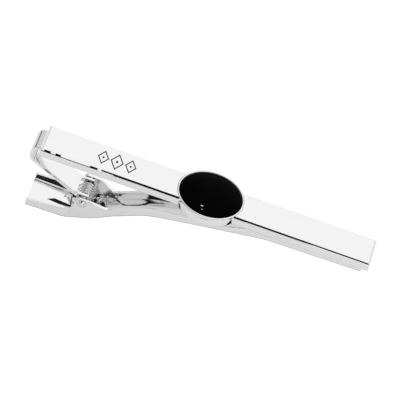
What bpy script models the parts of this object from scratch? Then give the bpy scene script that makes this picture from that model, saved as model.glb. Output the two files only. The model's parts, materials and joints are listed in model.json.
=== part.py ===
"""Tie bar: a bevelled bar with an oval cabochon, and a sprung alligator clasp on its back.

Units are metres and +Z is up. +X runs along the bar towards the jaw's tip and -Y is the near side. The origin is
at the centre of the object's box, on the plane of its lowest face, the underside of the clasp's tail.
Most shapes are drawn in bar coordinates: x from the bar's left end, z from the bar's underside.
"""

import math

import bmesh
import bpy
from mathutils import Matrix, Vector

MM = 0.001

# Clearances
SEAT_GAP = 0.03 * MM        # between pieces that are soldered, cemented or resting on each other
RUNNING_GAP = 0.05 * MM     # radial, between the pin and the lugs that turn on it
RIVET_GAP = 0.02 * MM       # radial, between the pin and the ears it is riveted into

# Bar
BAR_LENGTH = 55.4 * MM
BAR_WIDTH = 5.9 * MM
BAR_DEPTH = 1.6 * MM
BAR_BEVEL = 0.28 * MM
BAR_EASE = 0.1 * MM

# Oval setting and stone
STONE_LENGTH = 10.6 * MM
STONE_WIDTH = 9.86 * MM
STONE_WALL = 0.55 * MM      # straight part of the stone below its dome
STONE_DOME = 1.25 * MM
BEZEL_WALL = 0.19 * MM      # ring of metal around the stone
BEZEL_HEIGHT = 0.5 * MM
BEZEL_LIP = 0.08 * MM       # how far the ring leans in over the stone
BEZEL_CROWN = 0.14 * MM     # height of the ring's rounded edge
CUP_SPREAD = 0.15 * MM      # extra width of the cup across the bar, each side
CUP_DROP = 0.37 * MM        # the cup's top edge below the bar's face
CEMENT_DEPTH = 0.1 * MM
CEMENT_INSET = 0.3 * MM
STONE_CHAMFER = 0.1 * MM    # round the stone's flat back
DOME_STEPS = 12
OVAL_STEPS = 56

# Sprung strip: a tang soldered into the bar's back, a rolled end, and a leaf that forks into the hinge's two lugs
STRIP_WIDTH = 4.24 * MM
STRIP_THICKNESS = 0.65 * MM
TANG_LENGTH = 19.0 * MM
TANG_CEILING = 1.05 * MM    # height of the slot's ceiling over the bar's underside
ROLL_RADIUS = 1.2 * MM      # on the strip's mid line
ROLL_DROP = 0.7 * MM        # straight stretch between the roll's two bends
LEAF_ANGLE = math.radians(28.0)
LEAF_BEND_RADIUS = 1.6 * MM

# Hinge
PIVOT_X = 8.77 * MM
PIVOT_DROP = 7.15 * MM      # below the bar's underside
PIN_RADIUS = 0.4 * MM
RIVET_RADIUS = 0.85 * MM
RIVET_HEIGHT = 0.34 * MM
LUG_RADIUS = 0.95 * MM
LUG_THICKNESS = 0.49 * MM
FORK_ROOM = 0.3 * MM        # between the coil and the root of the fork

# Clasp lever, one pressed channel
SHEET = 0.5 * MM
SHEET_BEND = 0.5 * MM       # outer radius of the channel's lower edges
TAIL_DEPTH = 11.55 * MM     # the tail's underside below the bar's underside
TAIL_HALF_WIDTH = 3.3 * MM
EAR_HALF_WIDTH = 3.1 * MM
JAW_HALF_WIDTH = 2.0 * MM
JAW_END = 54.5 * MM
EAR_START = PIVOT_X - 1.17 * MM
EAR_END = PIVOT_X + 1.9 * MM
EAR_RISE = 0.86 * MM        # the ears' top above the pivot
EAR_CORNER = 0.65 * MM
FLANGE_START = 0.9 * MM     # the tail's side walls above the channel's bend, at the tail's end
FLANGE_RISE = 0.55 * MM     # how much higher they stand where the ears begin
BITE_START = 36.9 * MM      # where the jaw's edges meet the bar
TOOTH_PITCH = 1.3 * MM
TOOTH_DEPTH = 0.28 * MM

# Torsion spring
WIRE_RADIUS = 0.21 * MM
COIL_RADIUS = 0.92 * MM     # on the wire's centre line
COIL_TURNS = 5
COIL_PITCH = 0.54 * MM
STEPS_PER_TURN = 18
LEAF_LEG = 1.7 * MM
TAIL_LEG_GAP = 0.04 * MM

# Places worked out from the sizes
STONE_A = STONE_LENGTH / 2
STONE_B = STONE_WIDTH / 2
CUP_A = STONE_A + SEAT_GAP + BEZEL_WALL
CUP_B = STONE_B + SEAT_GAP + BEZEL_WALL + CUP_SPREAD
STONE_X = BAR_LENGTH / 2 + 0.2 * MM
CUP_RIM = BAR_DEPTH - CUP_DROP
STONE_BASE = CUP_RIM + BEZEL_HEIGHT - STONE_WALL - STONE_CHAMFER
CUP_FLOOR = STONE_BASE - CEMENT_DEPTH - 2 * SEAT_GAP
STRIP_MID = TANG_CEILING - SEAT_GAP - STRIP_THICKNESS / 2
ROLL_CENTRE_X = -0.02 * MM
OVERHANG = ROLL_RADIUS + STRIP_THICKNESS / 2 - ROLL_CENTRE_X
LEAF_LEVEL = -PIVOT_DROP + PIN_RADIUS + SEAT_GAP + STRIP_THICKNESS / 2
LEAF_END = PIVOT_X + 0.75 * LUG_RADIUS
COIL_OUTER = COIL_RADIUS + WIRE_RADIUS
COIL_HALF = COIL_TURNS * COIL_PITCH / 2
TAIL_FLOOR = -TAIL_DEPTH + SHEET
BAR_ORIGIN = Vector(((OVERHANG - BAR_LENGTH) / 2, 0, TAIL_DEPTH))
PIVOT = Vector((PIVOT_X, 0, -PIVOT_DROP))

# Outlines of the lever: height of its underside, height of its upper edge, and half its width
LEVER_UNDER = [
    (0, -TAIL_DEPTH),
    (6.6 * MM, -TAIL_DEPTH),
    (10.4 * MM, -9.98 * MM),
    (13.7 * MM, -8.94 * MM),
    (18.8 * MM, -6.15 * MM),
    (20.3 * MM, -5.7 * MM),
    (23.3 * MM, -5.0 * MM),
    (BITE_START - 0.6 * MM, -2.5 * MM),
    (BITE_START + 1.4 * MM, -2.15 * MM),
    (JAW_END, -1.8 * MM),
]
LEVER_EDGE = [
    (EAR_END, -PIVOT_DROP + EAR_RISE),
    (13.0 * MM, -7.35 * MM),
    (15.7 * MM, -5.65 * MM),
    (18.9 * MM, -4.0 * MM),
    (20.9 * MM, -3.6 * MM),
    (31.6 * MM, -2.1 * MM),
    (33.6 * MM, -1.45 * MM),
    (BITE_START, -SEAT_GAP),
    (JAW_END, -SEAT_GAP),
]
LEVER_HALF_WIDTH = [
    (0, TAIL_HALF_WIDTH),
    (EAR_START, EAR_HALF_WIDTH),
    (EAR_END, EAR_HALF_WIDTH),
    (13.9 * MM, JAW_HALF_WIDTH + 0.1 * MM),
    (JAW_END, JAW_HALF_WIDTH),
]


def material(name, colour, roughness, metallic):
    made = bpy.data.materials.new(name)
    made.use_nodes = True
    shader = made.node_tree.nodes["Principled BSDF"]
    shader.inputs["Base Color"].default_value = (*colour, 1)
    shader.inputs["Roughness"].default_value = roughness
    shader.inputs["Metallic"].default_value = metallic
    return made


def smooth(mesh, angle=35):
    mesh.shade_smooth()
    mesh.set_sharp_from_angle(angle=math.radians(angle))


def add_piece(name, bm, finish, parent, offset=None):
    """Object from a bmesh drawn in bar coordinates, hung on its parent with its origin at the parent's."""
    bmesh.ops.recalc_face_normals(bm, faces=bm.faces)
    bmesh.ops.translate(bm, verts=bm.verts, vec=-(offset or Vector()))
    mesh = bpy.data.meshes.new(name)
    bm.to_mesh(mesh)
    bm.free()
    piece = bpy.data.objects.new(name, mesh)
    bpy.context.scene.collection.objects.link(piece)
    piece.parent = parent
    if finish:
        mesh.materials.append(finish)
    smooth(mesh)
    return piece


def add_cutter(name, bm, parent, offset=None):
    piece = add_piece(name, bm, None, parent, offset)
    piece.hide_render = True
    piece.display_type = "WIRE"
    return piece


def add_empty(name, location, parent=None):
    empty = bpy.data.objects.new(name, None)
    bpy.context.scene.collection.objects.link(empty)
    empty.location = location
    empty.parent = parent
    return empty


def boolean(piece, other, operation):
    modifier = piece.modifiers.new(operation.lower() + "_" + other.name, "BOOLEAN")
    modifier.operation = operation
    modifier.solver = "EXACT"
    modifier.object = other


def solidify(piece, thickness):
    modifier = piece.modifiers.new("sheet", "SOLIDIFY")
    modifier.thickness = thickness
    modifier.offset = 0
    modifier.use_even_offset = True


def block(low, high):
    bm = bmesh.new()
    bmesh.ops.create_cube(bm, size=1)
    low, high = Vector(low), Vector(high)
    sides = high - low
    bmesh.ops.scale(bm, verts=bm.verts, vec=sides)
    bmesh.ops.translate(bm, verts=bm.verts, vec=(low + high) / 2)
    return bm


def oval_prism(a, b, low, high):
    """Upright oval prism about the stone's centre."""
    bm = bmesh.new()
    bmesh.ops.create_cone(
        bm, cap_ends=True, segments=OVAL_STEPS, radius1=1, radius2=1, depth=high - low
    )
    bmesh.ops.scale(bm, verts=bm.verts, vec=(a, b, 1))
    bmesh.ops.translate(bm, verts=bm.verts, vec=(STONE_X, 0, (low + high) / 2))
    return bm


def oval_turned(profile, closed):
    """Solid of oval plan: profile is a list of (a, b, z), semi-axes and height, swept round the stone's centre."""
    bm = bmesh.new()
    first = [bm.verts.new((a, 0, z)) for a, b, z in profile]
    widths = {a: b / a for a, b, z in profile if a > 0}
    pairs = list(zip(first, first[1:])) + ([(first[-1], first[0])] if closed else [])
    edges = [bm.edges.new(pair) for pair in pairs]
    bmesh.ops.spin(
        bm, geom=first + edges, cent=(0, 0, 0), axis=(0, 0, 1), angle=2 * math.pi, steps=OVAL_STEPS, use_merge=True
    )
    bmesh.ops.remove_doubles(bm, verts=bm.verts, dist=1e-7)
    radii = sorted(widths)
    for v in bm.verts:
        radius = math.hypot(v.co.x, v.co.y)
        if radius > 1e-7:
            nearest = min(radii, key=lambda r: abs(r - radius))
            v.co.y *= widths[nearest]
    bmesh.ops.translate(bm, verts=bm.verts, vec=(STONE_X, 0, 0))
    return bm


def cylinder_y(radius, half, x, z, segments=32):
    """Cylinder along Y about (x, z)."""
    bm = bmesh.new()
    bmesh.ops.create_cone(
        bm,
        cap_ends=True,
        segments=segments,
        radius1=radius,
        radius2=radius,
        depth=2 * half,
        matrix=Matrix.Translation((x, 0, z)) @ Matrix.Rotation(math.pi / 2, 4, "X"),
    )
    return bm


def arc(centre_x, centre_z, radius, start, end, steps):
    """Points on an arc from angle start to angle end, in degrees."""
    found = []
    for i in range(steps + 1):
        angle = math.radians(start + (end - start) * i / steps)
        found.append((centre_x + radius * math.cos(angle), centre_z + radius * math.sin(angle)))
    return found


def on_line(points, x):
    """Height at x on the broken line through the points."""
    for (x0, z0), (x1, z1) in zip(points, points[1:]):
        if x <= x1:
            return z0 + (z1 - z0) * max(0.0, (x - x0) / (x1 - x0))
    return points[-1][1]


def eased(points, x, reach=0.8 * MM, samples=9):
    """on_line with its corners rounded off over the reach each way."""
    shifts = [reach * (2 * i / (samples - 1) - 1) for i in range(samples)]
    return sum(on_line(points, x + shift) for shift in shifts) / samples


def face_bar(parent, finish):
    bar = block((0, -BAR_WIDTH / 2, 0), (BAR_LENGTH, BAR_WIDTH / 2, BAR_DEPTH))
    top = [e for e in bar.edges if all(v.co.z > BAR_DEPTH / 2 for v in e.verts)]
    bmesh.ops.bevel(
        bar, geom=top, offset=BAR_BEVEL, segments=1, profile=0.5, affect="EDGES", material=-1
    )
    low = [e for e in bar.edges if all(v.co.z < BAR_EASE for v in e.verts)]
    bmesh.ops.bevel(
        bar, geom=low, offset=BAR_EASE, segments=2, profile=0.5, affect="EDGES", material=-1
    )
    piece = add_piece("face_bar", bar, finish, parent)
    cup = add_cutter("cup_solid", oval_prism(CUP_A, CUP_B, 0, CUP_RIM), parent)
    above = add_cutter("cup_clear", oval_prism(CUP_A, CUP_B, CUP_RIM, 2 * BAR_DEPTH), parent)
    seat = add_cutter("stone_seat", oval_prism(STONE_A + SEAT_GAP, STONE_B + SEAT_GAP, CUP_FLOOR, CUP_RIM * 2), parent)
    slot_side = STRIP_WIDTH / 2 + SEAT_GAP
    slot = block((-BAR_WIDTH, -slot_side, -BAR_DEPTH), (TANG_LENGTH + SEAT_GAP, slot_side, TANG_CEILING))
    boolean(piece, cup, "UNION")
    boolean(piece, above, "DIFFERENCE")
    boolean(piece, seat, "DIFFERENCE")
    boolean(piece, add_cutter("tang_slot", slot, parent), "DIFFERENCE")
    return piece


def bezel_rim(parent, finish):
    """Ring of bezel wall standing on the cup, its top edge rounded and pressed in over the stone."""
    inner_a, inner_b = STONE_A + SEAT_GAP, STONE_B + SEAT_GAP
    low = CUP_RIM + SEAT_GAP
    high = CUP_RIM + BEZEL_HEIGHT
    profile = [(inner_a, inner_b, low), (CUP_A, CUP_B, low)]
    for inset, drop in ((0.07, 1.0), (0.35, 0.3), (0.85, 0.0)):
        inset *= BEZEL_CROWN
        profile.append((CUP_A - inset, CUP_B - inset, high - drop * BEZEL_CROWN))
    for lean, drop in ((1.0, 0.14), (1.12, 0.7), (0.03, 1.3)):
        lean *= BEZEL_LIP
        profile.append((inner_a - lean, inner_b - lean, high - drop * BEZEL_CROWN))
    return add_piece("bezel_rim", oval_turned(profile, True), finish, parent)


def onyx_cabochon(parent, finish):
    """Flat-backed stone: a short straight wall under a low dome that is an ellipse in section."""
    girdle = STONE_BASE + STONE_WALL - BEZEL_LIP
    taper = 0.002 * MM
    inset = BEZEL_LIP + SEAT_GAP
    profile = [(0, 0, STONE_BASE), (STONE_A - STONE_CHAMFER, STONE_B - STONE_CHAMFER, STONE_BASE)]
    profile += [(STONE_A, STONE_B, STONE_BASE + STONE_CHAMFER), (STONE_A - taper, STONE_B - taper, girdle)]
    for i in range(1, DOME_STEPS):
        angle = math.pi / 2 * i / DOME_STEPS
        share = math.cos(angle)
        profile.append(((STONE_A - inset) * share, (STONE_B - inset) * share, girdle + STONE_DOME * math.sin(angle)))
    profile.append((0, 0, girdle + STONE_DOME))
    return add_piece("onyx_cabochon", oval_turned(profile, False), finish, parent)


def cement_pad(parent, finish):
    low = CUP_FLOOR + SEAT_GAP
    pad = oval_prism(STONE_A - CEMENT_INSET, STONE_B - CEMENT_INSET, low, low + CEMENT_DEPTH)
    return add_piece("stone_cement", pad, finish, parent)


def strip_line():
    """Mid line of the strip's section: tang, rolled end, sloping leaf and the level stretch over the pin."""
    centre = ROLL_CENTRE_X
    upper = STRIP_MID - ROLL_RADIUS
    lower = upper - ROLL_DROP
    points = [(TANG_LENGTH, STRIP_MID), (TANG_LENGTH / 2, STRIP_MID)]
    points += arc(centre, upper, ROLL_RADIUS, 90, 180, 8)
    points += arc(centre, lower, ROLL_RADIUS, 180, 270 - math.degrees(LEAF_ANGLE), 6)
    start_x, start_z = points[-1]
    slope = math.tan(LEAF_ANGLE)
    bend = LEAF_BEND_RADIUS * math.tan(LEAF_ANGLE / 2)
    corner_x = start_x + (start_z - LEAF_LEVEL) / slope
    points.append(((start_x + corner_x) / 2, (start_z + LEAF_LEVEL) / 2))
    level_angle = 270 - math.degrees(LEAF_ANGLE)
    points += arc(corner_x + bend, LEAF_LEVEL + LEAF_BEND_RADIUS, LEAF_BEND_RADIUS, level_angle, 270, 5)
    points.append((LEAF_END, LEAF_LEVEL))
    return points


def back_strip(parent, finish):
    bm = bmesh.new()
    half = STRIP_WIDTH / 2
    row = [bm.verts.new((x, -half, z)) for x, z in strip_line()]
    edges = [bm.edges.new(pair) for pair in zip(row, row[1:])]
    grown = bmesh.ops.extrude_edge_only(bm, edges=edges)["geom"]
    moved = [v for v in grown if isinstance(v, bmesh.types.BMVert)]
    bmesh.ops.translate(bm, verts=moved, vec=(0, STRIP_WIDTH, 0))
    piece = add_piece("back_strip", bm, finish, parent)
    solidify(piece, STRIP_THICKNESS)
    fork = block(
        (PIVOT_X - COIL_OUTER - FORK_ROOM, LUG_THICKNESS - half, LEAF_LEVEL - 2 * LUG_RADIUS),
        (PIVOT_X + 2 * LUG_RADIUS, half - LUG_THICKNESS, LEAF_LEVEL + LUG_RADIUS),
    )
    for side, name in ((-1, "near_lug"), (1, "far_lug")):
        lug = cylinder_y(LUG_RADIUS, LUG_THICKNESS / 2, PIVOT_X, -PIVOT_DROP, 24)
        bmesh.ops.translate(lug, verts=lug.verts, vec=(0, side * (half - LUG_THICKNESS / 2), 0))
        boolean(piece, add_cutter(name, lug, parent), "UNION")
    boolean(piece, add_cutter("fork_gap", fork, parent), "DIFFERENCE")
    hole = cylinder_y(PIN_RADIUS + RUNNING_GAP, STRIP_WIDTH, PIVOT_X, -PIVOT_DROP)
    boolean(piece, add_cutter("lug_bore", hole, parent), "DIFFERENCE")
    return piece


def lever_top(x):
    """Height of the channel's upper edge at x."""
    if x < EAR_START:
        return -TAIL_DEPTH + SHEET_BEND + FLANGE_START + FLANGE_RISE * x / EAR_START
    if x < EAR_START + EAR_CORNER:
        across = 1 - (x - EAR_START) / EAR_CORNER
        return -PIVOT_DROP + EAR_RISE - EAR_CORNER * (1 - math.sqrt(max(0.0, 1 - across * across)))
    if x < EAR_END:
        return -PIVOT_DROP + EAR_RISE
    return eased(LEVER_EDGE, x, 0.5 * MM)


def lever_stations():
    """Places along x at which the channel's section is drawn, each with the height of its upper edge."""
    xs = [EAR_START * i / 5 for i in range(5)] + [EAR_START - 0.01 * MM]
    xs += [EAR_START + EAR_CORNER * (1 - math.cos(math.pi / 2 * i / 5)) for i in range(6)]
    xs += [PIVOT_X, EAR_END - EAR_CORNER]
    xs += [EAR_END + 0.75 * MM * i for i in range(15)]
    xs += [BITE_START - back * MM for back in (13.0, 9.5, 6.0, 5.0, 4.0, 3.0, 2.0, 1.0)]
    found = [(x, lever_top(x)) for x in xs]
    teeth = int((JAW_END - BITE_START) / TOOTH_PITCH)
    for i in range(teeth):
        start = BITE_START + i * TOOTH_PITCH
        found.append((start, -SEAT_GAP))
        found.append((start + TOOTH_PITCH / 2, -SEAT_GAP - TOOTH_DEPTH))
    return found + [(BITE_START + teeth * TOOTH_PITCH, -SEAT_GAP), (JAW_END, -SEAT_GAP)]


def lever_section(x, top):
    """Points of the channel's mid line at one station, from the near upper edge down and across to the far one."""
    half = eased(LEVER_HALF_WIDTH, x, 0.4 * MM) - SHEET / 2
    under = eased(LEVER_UNDER, x) + SHEET / 2
    bend = SHEET_BEND - SHEET / 2
    near = [(-half, top), (-half, (top + under + bend) / 2)]
    near += arc(-half + bend, under + bend, bend, 180, 270, 3)
    return near + [(-y, z) for y, z in reversed(near)]


def chain(edges):
    """The vertices of a run of edges, in order, from its near end."""
    ends = {}
    for e in edges:
        for v in e.verts:
            ends.setdefault(v, []).append(e)
    start = min((v for v, found in ends.items() if len(found) == 1), key=lambda v: v.co.y)
    row, edge = [start], ends[start][0]
    while edge:
        row.append(edge.other_vert(row[-1]))
        edge = next((e for e in ends[row[-1]] if e is not edge), None)
    return row


def clasp_lever(parent, finish):
    """One strip of sheet pressed into a channel: broad tail, raised ears round the pin, and a narrow toothed jaw."""
    bm = bmesh.new()
    stations = lever_stations()
    x, top = stations[0]
    row = [bm.verts.new((x, y, z)) for y, z in lever_section(x, top)]
    edges = [bm.edges.new(pair) for pair in zip(row, row[1:])]
    for x, top in stations[1:]:
        grown = bmesh.ops.extrude_edge_only(bm, edges=edges)["geom"]
        edges = [e for e in grown if isinstance(e, bmesh.types.BMEdge) and not any(v in row for v in e.verts)]
        row = chain(edges)
        for v, (y, z) in zip(row, lever_section(x, top)):
            v.co = (x, y, z)
    piece = add_piece("clasp_lever", bm, finish, parent, PIVOT)
    solidify(piece, SHEET)
    hole = cylinder_y(PIN_RADIUS + RIVET_GAP, 2 * EAR_HALF_WIDTH, PIVOT_X, -PIVOT_DROP)
    boolean(piece, add_cutter("ear_bore", hole, parent, PIVOT), "DIFFERENCE")
    return piece


def hinge_pin(parent, finish):
    """Rivet through both ears, with a low domed head each side."""
    start = EAR_HALF_WIDTH + SEAT_GAP
    profile = [(0, -start - RIVET_HEIGHT)]
    for i in range(1, 5):
        angle = math.pi / 2 * i / 4
        profile.append((RIVET_RADIUS * math.sin(angle), -start - RIVET_HEIGHT * math.cos(angle)))
    profile.append((PIN_RADIUS, -start))
    profile += [(r, -y) for r, y in reversed(profile)]
    bm = bmesh.new()
    verts = [bm.verts.new((r, y, 0)) for r, y in profile]
    edges = [bm.edges.new(pair) for pair in zip(verts, verts[1:])]
    bmesh.ops.spin(
        bm, geom=verts + edges, cent=(0, 0, 0), axis=(0, 1, 0), angle=2 * math.pi, steps=28, use_merge=True
    )
    bmesh.ops.remove_doubles(bm, verts=bm.verts, dist=1e-7)
    bmesh.ops.translate(bm, verts=bm.verts, vec=PIVOT)
    return add_piece("hinge_pin", bm, finish, parent, PIVOT)


def spring_points():
    """The wire's centre line about the pivot: a leg up to the leaf, the coil, and a leg down to the tail."""
    leaf_angle = math.radians(235)
    tail_angle = math.radians(150)
    sweep = 2 * math.pi * COIL_TURNS + (leaf_angle - tail_angle)
    steps = round(STEPS_PER_TURN * sweep / (2 * math.pi))
    coil = []
    for i in range(steps + 1):
        angle = leaf_angle - sweep * i / steps
        y = COIL_HALF * (2 * i / steps - 1)
        coil.append(Vector((COIL_RADIUS * math.cos(angle), y, COIL_RADIUS * math.sin(angle))))
    first, last = coil[0], coil[-1]
    up = Vector((math.sin(leaf_angle), 0, -math.cos(leaf_angle)))
    down = Vector((-math.sin(tail_angle), 0, math.cos(tail_angle)))
    floor = TAIL_FLOOR + PIVOT_DROP + WIRE_RADIUS + TAIL_LEG_GAP
    reach = (last.z - floor) / -down.z
    return [first + up * LEAF_LEG, first + up * LEAF_LEG / 2] + coil + [last + down * reach / 2, last + down * reach]


def torsion_spring(parent, finish):
    curve = bpy.data.curves.new("torsion_spring", "CURVE")
    curve.dimensions = "3D"
    curve.bevel_depth = WIRE_RADIUS
    curve.bevel_resolution = 2
    curve.use_fill_caps = True
    points = spring_points()
    spline = curve.splines.new("POLY")
    spline.points.add(len(points) - 1)
    for point, place in zip(spline.points, points):
        point.co = (*place, 1)
    curve.materials.append(finish)
    piece = bpy.data.objects.new("torsion_spring", curve)
    bpy.context.scene.collection.objects.link(piece)
    piece.parent = parent
    return piece


def main():
    for obj in list(bpy.data.objects):
        bpy.data.objects.remove(obj)
    plate = material("polished_plate", (0.86, 0.87, 0.88), 0.06, 1.0)
    strip = material("polished_strip", (0.80, 0.81, 0.83), 0.10, 1.0)
    steel = material("spring_steel", (0.42, 0.43, 0.45), 0.28, 1.0)
    rivet = material("polished_rivet", (0.78, 0.78, 0.79), 0.15, 1.0)
    onyx = material("black_onyx", (0.004, 0.004, 0.005), 0.04, 0.0)
    cement = material("clear_cement", (0.55, 0.50, 0.40), 0.5, 0.0)
    bar = add_empty("bar_origin", BAR_ORIGIN)
    pivot = add_empty("clasp_pivot", PIVOT, bar)
    face_bar(bar, plate)
    bezel_rim(bar, plate)
    onyx_cabochon(bar, onyx)
    cement_pad(bar, cement)
    back_strip(bar, strip)
    clasp_lever(pivot, strip)
    hinge_pin(pivot, rivet)
    torsion_spring(pivot, steel)


main()
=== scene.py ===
"""Looks of a tie bar: a bevelled, bright-plated bar with an oval black cabochon and a sprung alligator clasp.

Run as a script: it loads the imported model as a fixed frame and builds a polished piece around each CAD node.
Lengths are metres in the row frame. Shapes along the bar are drawn from the bar's own corner: x from its left
end, z from its underside, with the near side at -y.
"""

import json
import math

import bmesh
import bpy
from bpy.props import FloatProperty, FloatVectorProperty, IntProperty, PointerProperty
from mathutils import Matrix, Vector


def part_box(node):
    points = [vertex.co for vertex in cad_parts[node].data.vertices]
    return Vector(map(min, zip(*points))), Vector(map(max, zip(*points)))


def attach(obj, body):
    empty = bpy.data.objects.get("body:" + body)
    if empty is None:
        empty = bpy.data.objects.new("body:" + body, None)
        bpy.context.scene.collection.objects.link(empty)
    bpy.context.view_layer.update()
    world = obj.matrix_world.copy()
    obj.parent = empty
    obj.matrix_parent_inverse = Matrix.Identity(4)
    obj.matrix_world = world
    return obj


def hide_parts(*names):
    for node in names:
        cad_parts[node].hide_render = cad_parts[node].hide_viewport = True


bl_info = {
    "name": "Tie Bar with Cabochon",
    "version": (1, 0, 0),
    "blender": (4, 5, 0),
    "location": "View3D > Sidebar > Tie Bar",
    "description": "Builds the polished pieces of a tie bar and its sprung clasp",
    "category": "Add Mesh",
}

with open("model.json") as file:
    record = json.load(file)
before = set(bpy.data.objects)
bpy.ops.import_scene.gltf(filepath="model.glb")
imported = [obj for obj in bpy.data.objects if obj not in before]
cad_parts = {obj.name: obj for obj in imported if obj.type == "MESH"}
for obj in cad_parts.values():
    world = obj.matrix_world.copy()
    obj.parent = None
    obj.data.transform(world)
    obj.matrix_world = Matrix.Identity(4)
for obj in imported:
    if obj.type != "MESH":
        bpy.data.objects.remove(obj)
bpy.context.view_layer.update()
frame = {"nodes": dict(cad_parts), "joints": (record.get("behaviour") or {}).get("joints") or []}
BAR_LOW, BAR_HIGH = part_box("face_bar")
RING_LOW, RING_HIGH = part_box("bezel_rim")
STONE_LOW, STONE_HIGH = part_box("onyx_cabochon")
STRIP_LOW, STRIP_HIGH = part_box("back_strip")
LEVER_LOW, LEVER_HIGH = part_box("clasp_lever")
PIN_LOW, PIN_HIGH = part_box("hinge_pin")
MM = 0.001
CORNER = Vector((BAR_LOW.x, 0, BAR_LOW.z))
PIVOT = Vector(frame["joints"][0]["pos_m"]) - CORNER
STONE_X = (STONE_LOW.x + STONE_HIGH.x) / 2 - CORNER.x
BAR_LENGTH = BAR_HIGH.x - BAR_LOW.x
BAR_DEPTH = BAR_HIGH.z - BAR_LOW.z
TAU = 2 * math.pi
LEVER_END = LEVER_HIGH.x - CORNER.x
LUG_RADIUS = 0.95 * MM
EAR_START, EAR_END, EAR_RISE = PIVOT.x - 1.17 * MM, PIVOT.x + 1.9 * MM, 0.86 * MM
BITE = 36.9 * MM
FIT = 0.03 * MM
HAIR = 0.001 * MM
PIN_RADIUS = 0.4 * MM
ELEVATION = math.radians(46)


def length(name, description, default):
    return FloatProperty(name=name, description=description, default=default, unit="LENGTH", precision=6)


def colour(name, description, default):
    return FloatVectorProperty(
        name=name, description=description, default=default, size=3, subtype="COLOR", min=0, max=1
    )


class TIEBAR_PG_bar(bpy.types.PropertyGroup):
    """Sizes of the bar, its setting and its engraving"""

    width: length("Bar width", "Width across the bar", 5.9 * MM)
    bevel: length("Top bevel", "Flat bevel round the bar's face", 0.28 * MM)
    ease: length("Eased edge", "Small rounding of every other edge", 0.035 * MM)
    foot_ease: length("Foot rounding", "Rounding of the bar's lower edges", 0.1 * MM)
    cup_drop: length("Cup drop", "Cup's top below the bar's face", 0.37 * MM)
    cup_chamfer: length("Cup shoulder", "Sloping shoulder round the cup's top", 0.32 * MM)
    cup_floor: length("Seat floor", "Height of the stone's seat over the bar's underside", 0.92 * MM)
    ring_wall: length("Ring wall", "Thickness of the bezel ring", 0.2 * MM)
    ring_lip: length("Ring lip", "How far the ring leans in over the stone", 0.14 * MM)
    slot_length: length("Slot length", "Slot in the bar's back for the strip's tang", 19.0 * MM)
    slot_ceiling: length("Slot ceiling", "Height of the slot's ceiling over the bar's underside", 1.05 * MM)
    mark_start: length("Ornament start", "Left end of the engraved lozenges", 8.75 * MM)
    mark_width: length("Lozenge width", "Width of one lozenge", 2.0 * MM)
    mark_height: length("Lozenge height", "Height of one lozenge across the bar", 3.3 * MM)
    mark_pitch: length("Lozenge pitch", "Distance between neighbouring lozenges", 2.3 * MM)
    mark_stroke: length("Cut width", "Width of the engraved line", 0.26 * MM)
    mark_depth: length("Cut depth", "Depth of the engraved line", 0.07 * MM)
    oval_steps: IntProperty(name="Oval steps", description="Steps round the setting", default=160, min=32)


class TIEBAR_PG_clasp(bpy.types.PropertyGroup):
    """Sizes of the strip, the lever, the pin and the spring"""

    strip_thickness: length("Strip thickness", "Sheet of the tang and leaf", 0.65 * MM)
    strip_ease: length("Strip edge", "Rounding of the strip's cut edges", 0.1 * MM)
    sheet: length("Lever sheet", "Sheet of the clasp lever", 0.5 * MM)
    sheet_ease: length("Lever edge", "Rounding of the lever's cut edges", 0.14 * MM)
    wire: length("Wire", "Diameter of the spring's wire", 0.42 * MM)
    coil_radius: length("Coil radius", "Radius of the coil on the wire's centre line", 0.92 * MM)
    coil_pitch: length("Coil pitch", "Distance between neighbouring turns", 0.54 * MM)
    coil_turns: IntProperty(name="Turns", description="Full turns of the coil", default=5, min=1)


class TIEBAR_PG_finish(bpy.types.PropertyGroup):
    """Colours of the finishes"""

    plate: colour("Plate", "Bright plating of the bar and bezel", (0.91, 0.91, 0.91))
    strip: colour("Strip", "Plating of the strip and lever", (0.90, 0.90, 0.90))
    rivet: colour("Rivet", "Polished rivet", (0.88, 0.88, 0.88))
    steel: colour("Spring steel", "Drawn spring wire", (0.93, 0.93, 0.93))
    onyx: colour("Onyx", "Black stone", (0.0006, 0.0006, 0.0007))
    cement: colour("Cement", "Cured stone cement", (0.55, 0.50, 0.40))
    engraving: colour("Engraving", "Darkened floor of the engraved line", (0.02, 0.02, 0.022))
    floor: colour("Floor", "Pale studio floor", (0.95, 0.95, 0.95))


class Amount:
    """A number that varies over a surface: one node socket with ordinary arithmetic."""

    def __init__(self, tree, socket):
        self.tree = tree
        self.socket = socket

    def combine(self, operation, first, second):
        node = self.tree.nodes.new("ShaderNodeMath")
        node.operation = operation
        for socket, term in zip(node.inputs, (first, second)):
            if isinstance(term, Amount):
                self.tree.links.new(term.socket, socket)
            else:
                socket.default_value = term
        return Amount(self.tree, node.outputs[0])

    def __add__(self, other):
        return self.combine("ADD", self, other)

    def __rsub__(self, other):
        return self.combine("SUBTRACT", other, self)

    def __mul__(self, other):
        return self.combine("MULTIPLY", self, other)

    def __gt__(self, other):
        return self.combine("GREATER_THAN", self, other)

    __radd__ = __add__
    __rmul__ = __mul__


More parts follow.
